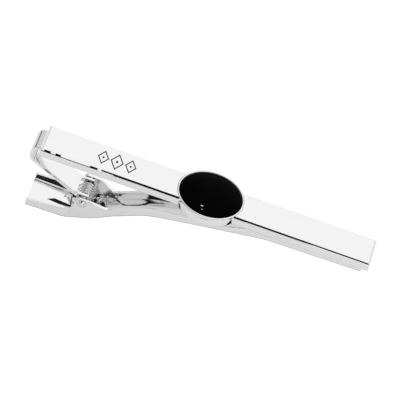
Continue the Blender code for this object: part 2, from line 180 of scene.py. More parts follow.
class Nodes:
    """Node tree of a material or world, written as calls."""

    def __init__(self, tree):
        self.tree = tree

    def add(self, kind, settings=None, sockets=None, out=0):
        """Adds a node, sets its settings, then its sockets' values or links, and returns one output."""
        node = self.tree.nodes.new("ShaderNode" + kind)
        for key, value in (settings or {}).items():
            if key == "stops":
                self.set_stops(node, value)
            else:
                setattr(node, key, value)
        for key, value in (sockets or {}).items():
            if isinstance(value, Amount):
                self.tree.links.new(value.socket, node.inputs[key])
            else:
                node.inputs[key].default_value = value
        return Amount(self.tree, node.outputs[out])

    def set_stops(self, node, stops):
        ramp = node.color_ramp.elements
        while len(ramp) < len(stops):
            ramp.new(0.5)
        for element, (position, value) in zip(ramp, stops):
            element.position = position
            element.color = (*value, 1) if isinstance(value, tuple) else (value, value, value, 1)

    def place(self, scale=(1, 1, 1), location=(0, 0, 0), rotation=(0, 0, 0)):
        """Object coordinates, moved, turned and scaled."""
        here = self.add("TexCoord", out="Object")
        values = {"Vector": here, "Scale": scale, "Location": location, "Rotation": rotation}
        return self.add("Mapping", {}, values)

    def noise(self, scale, detail=2.0, roughness=0.5, vector=None, distortion=0.0):
        vector = vector or self.place()
        values = {"Vector": vector, "Scale": scale, "Detail": detail, "Roughness": roughness}
        return self.add("TexNoise", {}, {**values, "Distortion": distortion})

    def mix(self, factor, first, second):
        colours = [end if isinstance(end, Amount) else (*end, 1) for end in (first, second)]
        values = {0: factor, 6: colours[0], 7: colours[1]}
        return self.add("Mix", {"data_type": "RGBA"}, values, out=2)


class Finish(Nodes):
    """A material on the Principled shader."""

    def __init__(self, name, **fixed):
        self.material = bpy.data.materials.new(name)
        self.material.use_nodes = True
        super().__init__(self.material.node_tree)
        self.shader = self.tree.nodes["Principled BSDF"]
        for key, value in fixed.items():
            self.shader.inputs[key.replace("_", " ").title().replace("Ior", "IOR")].default_value = value

    def vary(self, socket, value):
        self.tree.links.new(value.socket, self.shader.inputs[socket])

    def bump(self, layers):
        """Bump nodes in a chain: layers is a list of (height, strength, distance)."""
        normal = None
        for height, strength, distance in layers:
            values = {"Height": height, "Strength": strength, "Distance": distance}
            if normal:
                values["Normal"] = normal
            normal = self.add("Bump", {}, values)
        self.vary("Normal", normal)


def shade(tone, share):
    return tuple(share * part for part in tone)


def bright_plate(name, tone, polish, swirl):
    """Mirror plate: faint polishing lines along the bar, cloudy haze and a slow wave in its reflections."""
    made = Finish(name, metallic=1.0)
    lines = made.noise(1.0, 3, 0.6, made.place((260, 9000, 9000)))
    haze = made.noise(420, 4, 0.55)
    waves = made.noise(150, 1, 0.4, made.place((0.45, 1, 1)))
    pits = made.noise(5200, 2, 0.5)
    dull = shade(tone, 0.965)
    made.vary("Base Color", made.mix(haze, dull, tone))
    made.vary("Roughness", polish + 0.03 * lines * haze + 0.02 * (pits > 0.66))
    made.bump([(waves, 0.5, swirl), (lines, 0.06, 2.0e-6), (pits, 0.04, 1.0e-6)])
    return made.material


def rivet_plate(tone):
    """Plated rivet, its head slightly flattened and scuffed by the setting tool."""
    made = Finish("polished_rivet", metallic=1.0)
    scuff = made.noise(2600, 4, 0.65)
    made.vary("Base Color", made.mix(scuff, shade(tone, 0.82), tone))
    made.vary("Roughness", 0.03 + 0.05 * scuff)
    made.bump([(scuff, 0.12, 3.0e-6)])
    return made.material


def drawn_wire(tone):
    """Spring steel wire with the drawing die's lines and a little oil darkening."""
    made = Finish("spring_steel", metallic=1.0)
    lines = made.noise(1.0, 2, 0.5, made.place((3000, 12000, 3000)))
    oil = made.noise(900, 3, 0.5)
    made.vary("Base Color", made.mix(oil, shade(tone, 0.88), tone))
    made.vary("Roughness", 0.08 + 0.1 * lines)
    made.bump([(lines, 0.15, 4.0e-6)])
    return made.material


def polished_onyx(tone):
    """Opaque black stone: hardly any body colour, a faint grey band inside and a wet-looking polish."""
    made = Finish("black_onyx", ior=1.54, specular_ior_level=0.012)
    band = made.noise(140, 3, 0.5, made.place((0.4, 1.6, 1), rotation=(0, 0, 0.5)), distortion=1.2)
    specks = made.noise(4200, 2, 0.6)
    lighter = shade(tone, 1.7)
    made.vary("Base Color", made.mix(band, tone, lighter))
    made.vary("Roughness", 0.02 + 0.03 * specks)
    made.bump([(specks, 0.02, 1.0e-6)])
    return made.material


def stone_cement(tone):
    made = Finish("clear_cement")
    bubbles = made.noise(2600, 3, 0.6)
    made.vary("Base Color", made.mix(bubbles, shade(tone, 0.8), tone))
    made.vary("Roughness", 0.35 + 0.3 * bubbles)
    made.bump([(bubbles, 0.4, 2.0e-5)])
    return made.material


def darkened_cut(tone):
    """Engraved line, darkened: matt, with the ridges that the graver leaves."""
    made = Finish("darkened_cut", metallic=0.2)
    ridges = made.noise(1.0, 2, 0.5, made.place((6000, 6000, 900)))
    made.vary("Base Color", made.mix(ridges, tone, shade(tone, 2.2)))
    made.vary("Roughness", 0.5 + 0.2 * ridges)
    made.bump([(ridges, 0.3, 1.0e-5)])
    return made.material


# Finishes made so far, by name
MADE = {}


def finish(name):
    """The named material, made from the panel's colours the first time it is asked for."""
    if name in MADE:
        return MADE[name]
    tones = bpy.context.scene.tiebar_finish
    makers = {
        "polished_plate": lambda: bright_plate(name, tones.plate, 0.03, 9.0e-6),
        "polished_strip": lambda: bright_plate(name, tones.strip, 0.07, 1.6e-5),
        "polished_rivet": lambda: rivet_plate(tones.rivet),
        "spring_steel": lambda: drawn_wire(tones.steel),
        "black_onyx": lambda: polished_onyx(tones.onyx),
        "clear_cement": lambda: stone_cement(tones.cement),
        "darkened_cut": lambda: darkened_cut(tones.engraving),
    }
    MADE[name] = makers[name]()
    MADE[name].name = name + "_finish"
    return MADE[name]


def add_piece(name, bm, finishes, body, stands_for=(), angle=32):
    """Object from a bmesh drawn from the bar's corner, in the row frame, riding on its body."""
    bmesh.ops.translate(bm, verts=bm.verts, vec=CORNER)
    mesh = bpy.data.meshes.new(name)
    bm.to_mesh(mesh)
    bm.free()
    piece = bpy.data.objects.new(name, mesh)
    bpy.context.scene.collection.objects.link(piece)
    for material in finishes:
        mesh.materials.append(material)
    mesh.shade_smooth()
    mesh.set_sharp_from_angle(angle=math.radians(angle))
    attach(piece, body)
    if stands_for:
        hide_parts(*stands_for)
    return piece


def cut_with(piece, bm, operation="DIFFERENCE", lining=None):
    """Applies a Boolean with a solid drawn from the bar's corner, and drops the cutter."""
    bmesh.ops.recalc_face_normals(bm, faces=bm.faces)
    bmesh.ops.translate(bm, verts=bm.verts, vec=CORNER)
    mesh = bpy.data.meshes.new("cutter")
    bm.to_mesh(mesh)
    bm.free()
    mesh.materials.append(lining or piece.data.materials[0])
    cutter = bpy.data.objects.new("cutter", mesh)
    bpy.context.scene.collection.objects.link(cutter)
    modifier = piece.modifiers.new("cut", "BOOLEAN")
    modifier.operation = operation
    modifier.solver = "EXACT"
    modifier.object = cutter
    modifier.material_mode = "TRANSFER"
    settle(piece)
    bpy.data.objects.remove(cutter)


def settle(piece, angle=32):
    """Applies the piece's modifiers to its mesh."""
    graph = bpy.context.evaluated_depsgraph_get()
    made = bpy.data.meshes.new_from_object(piece.evaluated_get(graph))
    piece.modifiers.clear()
    piece.data = made
    made.shade_smooth()
    made.set_sharp_from_angle(angle=math.radians(angle))


def level_normals(piece):
    """Keeps flat faces flat-shaded right up to their rounded edges."""
    modifier = piece.modifiers.new("level", "WEIGHTED_NORMAL")
    modifier.mode = "FACE_AREA_WITH_ANGLE"
    modifier.keep_sharp = True
    modifier.weight = 80


def ease_edges(bm, offset, low_angle=40, segments=2):
    """Rounds every edge sharper than low_angle."""
    sharp = [e for e in bm.edges if e.is_manifold and e.calc_face_angle(0) > math.radians(low_angle)]
    bmesh.ops.bevel(
        bm, geom=sharp, offset=offset, offset_type="OFFSET", segments=segments, profile=0.5, affect="EDGES",
        clamp_overlap=True, material=-1
    )


def block(low, high):
    bm = bmesh.new()
    bmesh.ops.create_cube(bm, size=1)
    low, high = Vector(low), Vector(high)
    bmesh.ops.scale(bm, verts=bm.verts, vec=high - low)
    bmesh.ops.translate(bm, verts=bm.verts, vec=(low + high) / 2)
    return bm


def oval_turned(profile, steps, closed=False):
    """Solid of oval plan about the stone's centre. profile holds (semi-axis x, semi-axis y, z)."""
    bm = bmesh.new()
    verts = [bm.verts.new((a, 0, z)) for a, b, z in profile]
    pairs = list(zip(verts, verts[1:])) + ([(verts[-1], verts[0])] if closed else [])
    edges = [bm.edges.new(pair) for pair in pairs]
    full_spin(bm, verts + edges, (0, 0, 1), steps)
    ratios = sorted((a, b / a) for a, b, z in profile if a > 0)
    for v in bm.verts:
        radius = math.hypot(v.co.x, v.co.y)
        if radius > 1e-7:
            v.co.y *= min(ratios, key=lambda pair: abs(pair[0] - radius))[1]
    bmesh.ops.translate(bm, verts=bm.verts, vec=(STONE_X, 0, 0))
    bmesh.ops.recalc_face_normals(bm, faces=bm.faces)
    return bm


def full_spin(bm, profile, axis, steps):
    """Turns the profile once round the axis through the origin and closes it."""
    bmesh.ops.spin(bm, geom=profile, cent=(0, 0, 0), axis=axis, angle=TAU, steps=steps, use_merge=True)
    bmesh.ops.remove_doubles(bm, verts=bm.verts, dist=1e-7)


def rounded(a, b, z, radius, start, end, steps=4):
    """Points of a small corner arc on an oval profile, about (a, z), b keeping its distance from a."""
    found = []
    for i in range(steps + 1):
        angle = math.radians(start + (end - start) * i / steps)
        out = radius * math.cos(angle)
        found.append((a + out, b + out, z + radius * math.sin(angle)))
    return found


def arc(centre_x, centre_z, radius, start, end, steps):
    found = []
    for i in range(steps + 1):
        angle = math.radians(start + (end - start) * i / steps)
        found.append((centre_x + radius * math.cos(angle), centre_z + radius * math.sin(angle)))
    return found


def on_line(points, x):
    """Height at x on the broken line through the points."""
    for (x0, z0), (x1, z1) in zip(points, points[1:]):
        if x <= x1:
            return z0 + (z1 - z0) * max(0.0, (x - x0) / (x1 - x0))
    return points[-1][1]


def eased(points, x, reach=0.8 * MM, samples=17):
    """on_line with its corners rounded off over the reach each way."""
    return sum(on_line(points, x + reach * (2 * i / (samples - 1) - 1)) for i in range(samples)) / samples


def add_bar(context):
    """Bevelled bar with its cup, seat and slot."""
    p = context.scene.tiebar_bar
    bm = block((0, -p.width / 2, 0), (BAR_LENGTH, p.width / 2, BAR_DEPTH))
    top = [e for e in bm.edges if all(v.co.z > BAR_DEPTH / 2 for v in e.verts)]
    bmesh.ops.bevel(bm, geom=top, offset=p.bevel, segments=1, profile=0.5, affect="EDGES", material=-1)
    foot = [e for e in bm.edges if all(v.co.z < p.foot_ease for v in e.verts)]
    bmesh.ops.bevel(bm, geom=foot, offset=p.foot_ease, segments=4, profile=0.5, affect="EDGES", material=-1)
    ease_edges(bm, p.ease)
    piece = add_piece("polished_bar", bm, [finish("polished_plate")], "bar", ("face_bar",))
    rim = BAR_DEPTH - p.cup_drop
    outer_a, outer_b = half_sizes(RING_LOW, RING_HIGH)
    stone_a, stone_b = half_sizes(STONE_LOW, STONE_HIGH)
    seat_a, seat_b = stone_a + FIT, stone_b + FIT
    neck_a, neck_b = seat_a + p.ring_wall, seat_b + p.ring_wall
    steps = p.oval_steps
    cup = [(0, 0, 0), (outer_a - p.foot_ease, outer_b - p.foot_ease, 0)]
    cup += rounded(outer_a - p.foot_ease, outer_b - p.foot_ease, p.foot_ease, p.foot_ease, -70, 0)
    cup += [(outer_a - HAIR, outer_b - HAIR, rim - p.cup_chamfer), (neck_a, neck_b, rim), (0, 0, rim)]
    cut_with(piece, oval_turned(cup, steps), "UNION")
    clear = [(0, 0, rim), (neck_a, neck_b, rim), (neck_a + HAIR, neck_b + HAIR, 2 * BAR_DEPTH)]
    cut_with(piece, oval_turned(clear + [(0, 0, 2 * BAR_DEPTH)], steps))
    seat = [(0, 0, p.cup_floor), (seat_a, seat_b, p.cup_floor), (seat_a + HAIR, seat_b + HAIR, rim * 2)]
    cut_with(piece, oval_turned(seat + [(0, 0, rim * 2)], steps))
    side = (STRIP_HIGH.y - STRIP_LOW.y) / 2 + FIT
    cut_with(piece, block((-p.width, -side, -BAR_DEPTH), (p.slot_length + FIT, side, p.slot_ceiling)))
    return piece


def half_sizes(low, high):
    return (high.x - low.x) / 2, (high.y - low.y) / 2


# Corners of a lozenge, and how far a cutter stands proud of the face that it cuts
LOZENGE = [(1, 0), (0, 1), (-1, 0), (0, -1)]
PROUD = 0.02 * MM


def add_lozenges(piece, context):
    """Cuts the ornament: lozenge outlines with a small sunk lozenge in each."""
    p = context.scene.tiebar_bar
    bm = bmesh.new()
    centre = p.mark_start + p.mark_pitch + p.mark_width / 2
    outer_size, dot_size = 0.84, 0.3
    for shift, size in ((-p.mark_pitch, outer_size), (0, 1.0), (p.mark_pitch, outer_size)):
        middle = centre + shift
        reach = Vector((p.mark_width / 2, p.mark_height / 2)) * size
        lozenge_cut(bm, middle, reach, p.mark_stroke, p.mark_depth)
        sunk = reach * dot_size
        ring = [bm.verts.new((middle + x * sunk.x, y * sunk.y, BAR_DEPTH + PROUD)) for x, y in LOZENGE]
        foot = bm.verts.new((middle, 0, BAR_DEPTH - p.mark_depth))
        bm.faces.new(ring)
        for first, second in zip(ring, ring[1:] + ring[:1]):
            bm.faces.new((first, second, foot))
    cut_with(piece, bm, lining=finish("darkened_cut"))


def lozenge_cut(bm, middle, reach, stroke, depth):
    """Solid of a V-shaped cut that runs round a lozenge."""
    steep = math.hypot(reach.x, reach.y) / (reach.x * reach.y)
    wide = stroke / 2 * steep
    rings = []
    for scale, z in ((1 + wide, BAR_DEPTH + PROUD), (1 - wide, BAR_DEPTH + PROUD), (1, BAR_DEPTH - depth)):
        far = reach * scale
        rings.append([bm.verts.new((middle + x * far.x, y * far.y, z)) for x, y in LOZENGE])
    for i in range(4):
        j = (i + 1) % 4
        for first, second in zip(rings, rings[1:] + rings[:1]):
            bm.faces.new((first[i], first[j], second[j], second[i]))


def add_ring(context):
    """Bezel ring: a thin wall whose rounded edge is pressed in over the stone."""
    p = context.scene.tiebar_bar
    stone_a, stone_b = half_sizes(STONE_LOW, STONE_HIGH)
    rim = BAR_DEPTH - p.cup_drop
    high = RING_HIGH.z - CORNER.z
    solder = 4 * HAIR
    crown = (p.ring_wall + p.ring_lip) / 2
    outer_a, outer_b = stone_a + FIT + p.ring_wall - solder, stone_b + FIT + p.ring_wall - solder
    profile = [(stone_a + FIT, stone_b + FIT, rim), (outer_a, outer_b, rim)]
    profile += rounded(outer_a - crown, outer_b - crown, high - crown, crown, 0, 180, 14)
    inner_a, inner_b = outer_a - 2 * crown, outer_b - 2 * crown
    profile += [(inner_a + 10 * HAIR, inner_b + 10 * HAIR, high - crown - p.ring_wall / 2)]
    bm = oval_turned(profile, p.oval_steps, closed=True)
    plate = [finish("polished_plate")]
    return add_piece("bezel_ring", bm, plate, "bar", ("bezel_rim",), 50)


def add_stone(context):
    """Cabochon: flat back, short wall and a low dome."""
    p = context.scene.tiebar_bar
    a, b = half_sizes(STONE_LOW, STONE_HIGH)
    low, high = STONE_LOW.z - CORNER.z, STONE_HIGH.z - CORNER.z
    chamfer = 0.1 * MM
    girdle = low + 0.47 * MM
    inset = p.ring_lip + 0.04 * MM
    profile = [(0, 0, low), (a - chamfer, b - chamfer, low), (a, b, low + chamfer)]
    profile += [(a - 2 * HAIR, b - 2 * HAIR, girdle)]
    rings = 36
    for i in range(1, rings):
        angle = math.pi / 2 * i / rings
        share = math.cos(angle)
        profile.append(((a - inset) * share, (b - inset) * share, girdle + (high - girdle) * math.sin(angle)))
    bm = oval_turned(profile + [(0, 0, high)], p.oval_steps)
    return add_piece("cabochon", bm, [finish("black_onyx")], "bar", ("onyx_cabochon",), 25)


def strip_line(thickness, level):
    """Mid line of the strip's section: tang, rolled end, sloping leaf and its level stretch over the pin."""
    roll = 1.2 * MM
    centre = -0.02 * MM
    mid = STRIP_HIGH.z - CORNER.z - thickness / 2
    upper, lower = mid - roll, mid - roll - 0.7 * MM
    lean = 28
    points = [(STRIP_HIGH.x - CORNER.x, mid), (STRIP_HIGH.x / 2 - CORNER.x / 2, mid)]
    points += arc(centre, upper, roll, 90, 180, 24)
    points += arc(centre, lower, roll, 180, 270 - lean, 18)
    start_x, start_z = points[-1]
    bend_radius = 1.6 * MM
    slope = math.tan(math.radians(lean))
    bend = bend_radius * math.tan(math.radians(lean) / 2)
    corner_x = start_x + (start_z - level) / slope
    points += [((start_x + corner_x) / 2, (start_z + level) / 2)]
    points += arc(corner_x + bend, level + bend_radius, bend_radius, 270 - lean, 270, 12)
    return points + [(PIVOT.x + 0.75 * LUG_RADIUS, level)]


def cylinder_y(radius, half, centre, segments=64):
    bm = bmesh.new()
    place = Matrix.Translation(centre) @ Matrix.Rotation(math.pi / 2, 4, "X")
    bmesh.ops.create_cone(
        bm, cap_ends=True, segments=segments, radius1=radius, radius2=radius, depth=2 * half, matrix=place
    )
    return bm


def add_strip(context):
    """Strip of sheet: tang, roll and leaf, forked round the coil into the two lugs that the pin runs in."""
    p = context.scene.tiebar_clasp
    half = (STRIP_HIGH.y - STRIP_LOW.y) / 2
    level = PIVOT.z + PIN_RADIUS + FIT + p.strip_thickness / 2
    bm = bmesh.new()
    row = [bm.verts.new((x, -half, z)) for x, z in strip_line(p.strip_thickness, level)]
    edges = [bm.edges.new(pair) for pair in zip(row, row[1:])]
    grown = bmesh.ops.extrude_edge_only(bm, edges=edges)["geom"]
    far_side = [v for v in grown if isinstance(v, bmesh.types.BMVert)]
    bmesh.ops.translate(bm, verts=far_side, vec=(0, 2 * half, 0))
    piece = add_piece("strip", bm, [finish("polished_strip")], "bar", ("back_strip",))
    thicken(piece, p.strip_thickness, p.strip_ease)
    lug = 0.49 * MM
    for side in (-1, 1):
        centre = Vector((PIVOT.x, side * (half - lug / 2), PIVOT.z))
        cut_with(piece, cylinder_y(LUG_RADIUS, lug / 2, centre, 96), "UNION")
    room, corner, bore = p.coil_radius + p.wire / 2 + 0.3 * MM, 0.45 * MM, PIN_RADIUS + 0.05 * MM
    across = half - lug
    low = (PIVOT.x - room, -across, level - 2 * LUG_RADIUS)
    fork = block(low, (PIVOT.x + 2 * LUG_RADIUS, across, level + LUG_RADIUS))
    root = [e for e in fork.edges if all(v.co.x < PIVOT.x for v in e.verts)]
    upright = [e for e in root if abs(e.verts[0].co.z - e.verts[1].co.z) > MM / 2]
    bmesh.ops.bevel(fork, geom=upright, offset=corner, segments=6, profile=0.5, affect="EDGES", material=-1)
    cut_with(piece, fork)
    cut_with(piece, cylinder_y(bore, 4 * half, PIVOT))
    return piece


def thicken(piece, thickness, ease):
    """Gives a surface the sheet's thickness on both sides and rounds the cut edges."""
    sheet = piece.modifiers.new("sheet", "SOLIDIFY")
    sheet.thickness = thickness
    sheet.offset = 0
    sheet.use_even_offset = True
    settle(piece)
    bm = bmesh.new()
    bm.from_mesh(piece.data)
    bmesh.ops.recalc_face_normals(bm, faces=bm.faces)
    ease_edges(bm, ease, 60, 4)
    bm.to_mesh(piece.data)
    bm.free()
    piece.data.shade_smooth()
    piece.data.set_sharp_from_angle(angle=math.radians(32))


def in_mm(*points):
    return [(x * MM, z * MM) for x, z in points]


def corner_lines():
    """Outlines of the lever: (underside, upper edge, half width), each a list of points along the bar."""
    low, top = LEVER_LOW.z - CORNER.z, -0.03 * MM
    under = [(0, low), (6.6 * MM, low)] + in_mm(
        (10.4, -9.98), (13.7, -8.94), (18.8, -6.15), (20.3, -5.7), (23.3, -5.0)
    )
    under += [(BITE - 0.6 * MM, -2.5 * MM), (BITE + 1.4 * MM, -2.15 * MM), (LEVER_END, -1.8 * MM)]
    upper = [(EAR_END, PIVOT.z + EAR_RISE)] + in_mm(
        (13, -7.35), (15.7, -5.65), (18.9, -4), (20.9, -3.6), (31.6, -2.1), (33.6, -1.45)
    )
    upper += [(BITE, top), (LEVER_END, top)]
    ears, jaw = 3.1 * MM, 2 * MM
    width = [(0, 3.3 * MM), (EAR_START, ears), (EAR_END, ears), (13.9 * MM, 2.1 * MM), (LEVER_END, jaw)]
    return under, upper, width


def lever_top(x, upper, bend):
    """Height of the channel's upper edge at x."""
    low = LEVER_LOW.z - CORNER.z + bend
    ears, corner = PIVOT.z + EAR_RISE, 0.65 * MM
    if x < EAR_START:
        return low + 0.9 * MM + x / EAR_START * 0.55 * MM
    if x < EAR_START + corner:
        across = 1 - (x - EAR_START) / corner
        return ears - corner * (1 - math.sqrt(max(0.0, 1 - across * across)))
    return ears if x < EAR_END else eased(upper, x, 0.5 * MM)


def lever_stations(upper, bend):
    """Places along x at which the channel's section is drawn, each with the height of its upper edge."""
    corner, pitch, deep = 0.65 * MM, 1.3 * MM, 0.28 * MM
    xs = [EAR_START * i / 30 for i in range(30)] + [EAR_START - 0.01 * MM]
    xs += [EAR_START + corner * (1 - math.cos(math.pi / 2 * i / 10)) for i in range(11)]
    xs += [PIVOT.x + 0.25 * MM * i for i in range(7)]
    steps = round((BITE - EAR_END) / (0.35 * MM))
    xs += [EAR_END + (BITE - EAR_END) * i / steps for i in range(steps)]
    found = [(x, lever_top(x, upper, bend)) for x in xs]
    teeth = int((LEVER_END - BITE) / pitch)
    for i in range(teeth):
        found += [(BITE + i * pitch, -FIT), (BITE + (i + 0.5) * pitch, -FIT - deep)]
    return found + [(BITE + teeth * pitch, -FIT), (LEVER_END, -FIT)]


def panel(reach, low, high):
    """Triangular block that points at the tail's end, its top set in by the reach on every side."""
    corners = [Vector(point) for point in in_mm((2.9, -0.85), (7.5, -1.3), (6.9, 1.75))]
    bm = bmesh.new()
    rings = []
    for inset, z in ((0, low), (reach, high)):
        sides = [offset_line(corners[i], corners[(i + 1) % 3], inset) for i in range(3)]
        points = [crossing(sides[i - 1], sides[i]) for i in range(3)]
        rings.append([bm.verts.new((*point, z)) for point in points])
    bm.faces.new(rings[0])
    bm.faces.new(rings[1])
    for i in range(3):
        j = (i + 1) % 3
        bm.faces.new((rings[0][i], rings[0][j], rings[1][j], rings[1][i]))
    return bm


def offset_line(start, end, inset):
    """A point and direction: the line from start to end moved inwards, to its left."""
    along = (end - start).normalized()
    return start + Vector((-along.y, along.x)) * inset, along


def crossing(first, second):
    (p, d), (q, e) = first, second
    share = ((q - p).x * e.y - (q - p).y * e.x) / (d.x * e.y - d.y * e.x)
    return p + d * share


def lever_section(x, top, under, width, sheet, bend):
    """Points of the channel's mid line at one station, from the near upper edge across to the far one."""
    half = eased(width, x, 0.4 * MM) - sheet / 2
    low = eased(under, x) + sheet / 2
    turn = bend - sheet / 2
    near = [(-half, top), (-half, (top + low + turn) / 2)] + arc(-half + turn, low + turn, turn, 180, 270, 7)
    return near + [(0, low)] + [(-y, z) for y, z in reversed(near)]


def add_lever(context):
    """Clasp lever, one strip of sheet pressed into a channel: tail, ears round the pin and toothed jaw."""
    p = context.scene.tiebar_clasp
    bend = 0.5 * MM
    under, upper, width = corner_lines()
    bm = bmesh.new()
    rows = []
    for x, top in lever_stations(upper, bend):
        rows.append([bm.verts.new((x, y, z)) for y, z in lever_section(x, top, under, width, p.sheet, bend)])
    for first, second in zip(rows, rows[1:]):
        for i in range(len(first) - 1):
            bm.faces.new((first[i], first[i + 1], second[i + 1], second[i]))
    piece = add_piece("lever", bm, [finish("polished_strip")], "lever", ("clasp_lever",))
    thicken(piece, p.sheet, p.sheet_ease)
    floor, press, sunk = LEVER_LOW.z - CORNER.z + p.sheet, 0.45 * MM, 0.05 * MM
    cut_with(piece, panel(press, floor - sunk, floor + press), "UNION")
    cut_with(piece, panel(press, floor - p.sheet - sunk, floor - p.sheet + press - sunk))
    cut_with(piece, cylinder_y(PIN_RADIUS + PROUD, 7 * MM, PIVOT))
    return piece


def add_pin():
    """Rivet through both ears, with a low coned head each side."""
    half = (PIN_HIGH.y - PIN_LOW.y) / 2
    head, start = 0.85 * MM, 3.13 * MM
    ease, lip = 0.05 * MM, 0.03 * MM
    face, fall = 0.34 * MM, 0.36 * MM
    profile = [(0, -half), (face, -half), (face + ease, PROUD - half), (face + fall, fall - half)]
    profile += [(head - lip, -start - lip), (head, -start), (PIN_RADIUS, -start)]
    profile += [(r, -y) for r, y in reversed(profile)]
    bm = bmesh.new()
    verts = [bm.verts.new((r, y, 0)) for r, y in profile]
    edges = [bm.edges.new(pair) for pair in zip(verts, verts[1:])]
    full_spin(bm, verts + edges, (0, 1, 0), 64)
    bmesh.ops.recalc_face_normals(bm, faces=bm.faces)
    bmesh.ops.translate(bm, verts=bm.verts, vec=PIVOT)
    return add_piece("pin", bm, [finish("polished_rivet")], "lever", ("hinge_pin",), 45)


def add_spring(context):
    """Torsion spring: the coil and its upper leg stay on the bar, the tail's leg moves with the lever."""
    p = context.scene.tiebar_clasp
    leaf, tail = math.radians(235), math.radians(150)
    sweep = TAU * p.coil_turns + leaf - tail
    half = p.coil_turns * p.coil_pitch / 2
    steps = round(36 * sweep / TAU)

    def on_coil(i):
        angle = leaf - sweep * i / steps
        across = half * (2 * i / steps - 1)
        return Vector((p.coil_radius * math.cos(angle), across, p.coil_radius * math.sin(angle)))

    coil = [on_coil(i) for i in range(steps + 1)]
    up = Vector((math.sin(leaf), 0, -math.cos(leaf)))
    down = Vector((-math.sin(tail), 0, math.cos(tail)))
    clear, upper_leg = 0.04 * MM, 1.7 * MM
    floor = LEVER_LOW.z - CORNER.z + p.sheet + clear + p.wire / 2 - PIVOT.z
    reach = (coil[-1].z - floor) / -down.z
    upper = [coil[0] + up * upper_leg, coil[0] + up * upper_leg / 2] + coil
    lower = coil[-4:] + [coil[-1] + down * reach / 2, coil[-1] + down * reach]
    made = []
    for name, points, body in (("spring_coil", upper, "bar"), ("spring_leg", lower, "lever")):
        bm = wire([PIVOT + point for point in points], p.wire / 2)
        made.append(add_piece(name, bm, [finish("spring_steel")], body, (), 50))
    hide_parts("torsion_spring")
    return made


def wire(points, radius):
    """Round wire along the points, with closed ends."""
    curve = bpy.data.curves.new("wire", "CURVE")
    curve.dimensions = "3D"
    curve.bevel_depth = radius
    curve.bevel_resolution = 4
    curve.use_fill_caps = True
    spline = curve.splines.new("POLY")
    spline.points.add(len(points) - 1)
    for point, place in zip(spline.points, points):
        point.co = (*place, 1)
    drawn = bpy.data.objects.new("wire", curve)
    mesh = bpy.data.meshes.new_from_object(drawn)
    bm = bmesh.new()
    bm.from_mesh(mesh)
    bpy.data.objects.remove(drawn)
    bpy.data.meshes.remove(mesh)
    bmesh.ops.remove_doubles(bm, verts=bm.verts, dist=1e-8)
    bmesh.ops.recalc_face_normals(bm, faces=bm.faces)
    return bm


class Sky(Nodes):
    """World: an even white tent, dimmer to the left and dark along the horizon and below it."""

    def __init__(self, name):
        world = bpy.data.worlds.new(name)
        world.use_nodes = True
        bpy.context.scene.world = world
        super().__init__(world.node_tree)


BACK = Vector((0, -math.cos(ELEVATION), math.sin(ELEVATION)))
RISE = Vector((0, math.sin(ELEVATION), math.cos(ELEVATION)))

# Black cards in front of the object: (left, right, low, high, distance), in mm, upright to the lens
CARDS = [
    (7.3, 8.7, -3.3, 1.5, 30),
    (9.3, 10.6, -3.3, 1.5, 30),
    (10.6, 11.5, -3.3, 1.5, 30),
    (11.5, 22, -7.5, 1.5, 30),
    (-45, -6, -9, 14, 30),
    (-6, 2, 1.5, 14, 30),
    (22, 35, -7.5, 1.5, 30),
    (35, 62, -3.3, 1.5, 30),
    (0.5, 1.6, -2.4, 0.4, 4),
    (2.4, 3.3, -2.4, 0.4, 4),
    (-6.0, 8.6, -16.0, -3.2, 30),
    (5.0, 12.0, -14.0, -6.7, 30),
]

# Height of the floor; the jaw's tip reaches about 0.2 mm below it when the clasp is fully open
FLOOR = -6.0 * MM

# Small bright lamps over the stone: (aim, width in degrees, strength); each is a point of light in the polish
GLINTS = [
    ((-0.1, 0.15, 0.98), 3, 800),
    ((-0.1, -0.15, 0.98), 3, 800),
]

# Dark strips laid on the floor, in front of the object and under it: (left, right, near, far), in mm. The last
# strip, under the object, is a painted shadow: a dark sheet where the object's shade falls on the floor, seen
# only in the polish
FLOOR_STRIPS_AND_PAINTED_SHADOW = [
    (0.5, 1.8, -16.2, -15.0),
    (2.5, 3.3, -16.2, -15.0),
    (3.3, 12.0, -15.3, -15.0),
    # painted shadow: this strip under the object stands in for the shade that it casts on the floor
    (-1.6, 56, -3.7, 3.1),
]


def add_cards():
    """Black cards that only the polish sees: they draw the dark lines in the bevels and inside the tail. The
    floor strip under the object is a painted shadow.
    """
    black = Finish("card_black", roughness=0.9, specular_ior_level=0.0)
    fibres = black.noise(400, 2, 0.5)
    black.vary("Base Color", black.mix(fibres, (0.0, 0.0, 0.0), (0.004, 0.004, 0.004)))
    for i, (left, right, low, high, distance) in enumerate(CARDS):
        corners = ((left, low), (right, low), (right, high), (left, high))
        place = CORNER + BACK * distance * MM
        add_card(f"card_{i}", black, [place + Vector((x * MM, 0, 0)) + RISE * h * MM for x, h in corners])
    # floor strips; the one under the object is a painted shadow
    for i, (left, right, near, far) in enumerate(FLOOR_STRIPS_AND_PAINTED_SHADOW):
        corners = ((left, near), (right, near), (right, far), (left, far))
        place = Vector((CORNER.x, 0, FLOOR + PROUD))
        add_card(f"strip_{i}", black, [place + Vector((x * MM, y * MM, 0)) for x, y in corners])


def add_glints():
    """Round lamps that only the stone's polish sees."""
    stone = bpy.data.collections.new("glint_targets")
    stone.objects.link(bpy.data.objects["cabochon"])
    away, sides = 0.3, 24
    for i, (aim, wide, strength) in enumerate(GLINTS):
        aim = Vector(aim).normalized()
        place = CORNER + Vector((STONE_X, 0, 0)) + aim * away
        glow = Finish(f"glint_{i}", roughness=1.0, emission_strength=strength)
        glow.shader.inputs["Emission Color"].default_value = (1, 1, 1, 1)
        radius = away * math.tan(math.radians(wide) / 2)
        turn = aim.to_track_quat("Z", "Y")
        angles = [TAU * k / sides for k in range(sides)]
        rim = [place + turn @ Vector((math.cos(a), math.sin(a), 0)) * radius for a in angles]
        add_card(f"glint_{i}", glow, rim, stone)


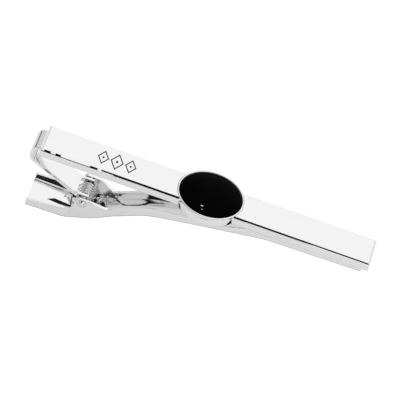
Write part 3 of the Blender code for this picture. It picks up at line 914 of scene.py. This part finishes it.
def add_card(name, finish, corners, only=None):
    """Flat card in the stage, unseen by the lens; it may be set to light a single collection."""
    bm = bmesh.new()
    bm.faces.new([bm.verts.new(corner) for corner in corners])
    mesh = bpy.data.meshes.new(name)
    bm.to_mesh(mesh)
    bm.free()
    mesh.materials.append(finish.material)
    card = bpy.data.objects.new(name, mesh)
    bpy.context.scene.collection.objects.link(card)
    card.visible_camera = card.visible_shadow = card.visible_diffuse = False
    card.light_linking.receiver_collection = only


def light_tent(level):
    """White overhead, dimmer to the left, dark along the horizon where the tent's skirt ends."""
    sky = Sky("light_tent")
    here = sky.add("TexCoord", out="Generated")
    height = sky.add("SeparateXYZ", {}, {0: here}, out="Z")
    limits = {"Value": height, "From Min": math.sin(math.radians(4)), "From Max": math.sin(math.radians(14))}
    lit = sky.add("MapRange", {"interpolation_type": "SMOOTHSTEP"}, limits)
    side = sky.add("SeparateXYZ", {}, {0: here}, out="X")
    limits = {"Value": side, "From Min": -0.3, "From Max": -0.05, "To Min": 0.68, "To Max": 1.0}
    dimmed = sky.add("MapRange", {"interpolation_type": "SMOOTHSTEP"}, limits)
    strength = lit * level * dimmed
    plain = sky.add("LightPath", out="Is Camera Ray")
    strength = strength + plain * (1.05 - strength)
    background = sky.tree.nodes["Background"]
    background.inputs["Color"].default_value = (1, 1, 1, 1)
    sky.tree.links.new(strength.socket, background.inputs["Strength"])


def add_floor():
    bm = bmesh.new()
    bmesh.ops.create_grid(bm, x_segments=1, y_segments=1, size=0.6)
    bmesh.ops.translate(bm, verts=bm.verts, vec=(0, 0, FLOOR))
    mesh = bpy.data.meshes.new("studio_floor")
    bm.to_mesh(mesh)
    bm.free()
    floor = bpy.data.objects.new("studio_floor", mesh)
    bpy.context.scene.collection.objects.link(floor)
    made = Finish("studio_floor", roughness=0.9)
    grain = made.noise(60, 2, 0.5)
    tone = tuple(bpy.context.scene.tiebar_finish.floor)
    made.vary("Base Color", made.mix(grain, shade(tone, 0.99), tone))
    mesh.materials.append(made.material)
    floor.visible_camera = False


def add_camera():
    """Long lens, 46 degrees above the near side, rolled so that the bar slopes down to the right."""
    roll = math.radians(19.39)
    across = 63.95 * MM
    aim = CORNER + Vector((26.52 * MM, 0, -0.3 * MM))
    data = bpy.data.cameras.new("camera")
    data.lens, data.sensor_width = 300, 36
    distance = across * data.lens / data.sensor_width
    data.clip_start, data.clip_end = distance / 100, distance * 20
    camera = bpy.data.objects.new("camera", data)
    bpy.context.scene.collection.objects.link(camera)
    right = Vector((math.cos(roll), 0, 0)) + math.sin(roll) * RISE
    up = Vector((-math.sin(roll), 0, 0)) + math.cos(roll) * RISE
    turn = Matrix((right, up, BACK)).transposed().to_4x4()
    camera.matrix_world = Matrix.Translation(aim + BACK * distance) @ turn
    bpy.context.scene.camera = camera


class TIEBAR_OT_bar(bpy.types.Operator):
    """Add the bevelled bar with its cup and engraved lozenges"""

    bl_idname = "tiebar.bar"
    bl_label = "Bar"

    def execute(self, context):
        piece = add_bar(context)
        add_lozenges(piece, context)
        level_normals(piece)
        return {"FINISHED"}


class TIEBAR_OT_setting(bpy.types.Operator):
    """Add the bezel ring, the cabochon and the finish of its cement"""

    bl_idname = "tiebar.setting"
    bl_label = "Stone and Bezel"

    def execute(self, context):
        add_ring(context)
        add_stone(context)
        cement = frame["nodes"]["stone_cement"].data.materials
        cement.clear()
        cement.append(finish("clear_cement"))
        return {"FINISHED"}


class TIEBAR_OT_strip(bpy.types.Operator):
    """Add the rolled strip that carries the hinge"""

    bl_idname = "tiebar.strip"
    bl_label = "Strip"

    def execute(self, context):
        level_normals(add_strip(context))
        return {"FINISHED"}


class TIEBAR_OT_lever(bpy.types.Operator):
    """Add the clasp lever and its rivet"""

    bl_idname = "tiebar.lever"
    bl_label = "Lever and Rivet"

    def execute(self, context):
        level_normals(add_lever(context))
        add_pin()
        return {"FINISHED"}


class TIEBAR_OT_spring(bpy.types.Operator):
    """Add the torsion spring"""

    bl_idname = "tiebar.spring"
    bl_label = "Spring"

    def execute(self, context):
        add_spring(context)
        return {"FINISHED"}


class TIEBAR_OT_stage(bpy.types.Operator):
    """Add the floor, the light tent, the cards, the lamps and the camera"""

    bl_idname = "tiebar.stage"
    bl_label = "Stage"

    def execute(self, context):
        add_floor()
        light_tent(1.0)
        add_cards()
        add_glints()
        add_camera()
        scene = context.scene
        scene.view_settings.view_transform = "Standard"
        scene.view_settings.look = "None"
        return {"FINISHED"}


OPERATORS = [
    TIEBAR_OT_bar, TIEBAR_OT_setting, TIEBAR_OT_strip, TIEBAR_OT_lever, TIEBAR_OT_spring, TIEBAR_OT_stage
]
GROUPS = {"tiebar_bar": TIEBAR_PG_bar, "tiebar_clasp": TIEBAR_PG_clasp, "tiebar_finish": TIEBAR_PG_finish}


class TIEBAR_PT_panel(bpy.types.Panel):
    bl_label = "Tie Bar"
    bl_idname = "TIEBAR_PT_panel"
    bl_space_type = "VIEW_3D"
    bl_region_type = "UI"
    bl_category = "Tie Bar"

    def draw(self, context):
        for group in GROUPS:
            settings = getattr(context.scene, group)
            for name in settings.bl_rna.properties.keys():
                if name not in ("rna_type", "name"):
                    self.layout.prop(settings, name)
        for operator in OPERATORS:
            self.layout.operator(operator.bl_idname)


def register():
    for group, kind in GROUPS.items():
        bpy.utils.register_class(kind)
        setattr(bpy.types.Scene, group, PointerProperty(type=kind))
    for kind in (*OPERATORS, TIEBAR_PT_panel):
        bpy.utils.register_class(kind)


def unregister():
    for kind in (TIEBAR_PT_panel, *reversed(OPERATORS)):
        bpy.utils.unregister_class(kind)
    for group, kind in GROUPS.items():
        delattr(bpy.types.Scene, group)
        bpy.utils.unregister_class(kind)


def main():
    register()
    bpy.ops.tiebar.bar()
    bpy.ops.tiebar.setting()
    bpy.ops.tiebar.strip()
    bpy.ops.tiebar.lever()
    bpy.ops.tiebar.spring()
    bpy.ops.tiebar.stage()


if __name__ == "__main__":
    main()
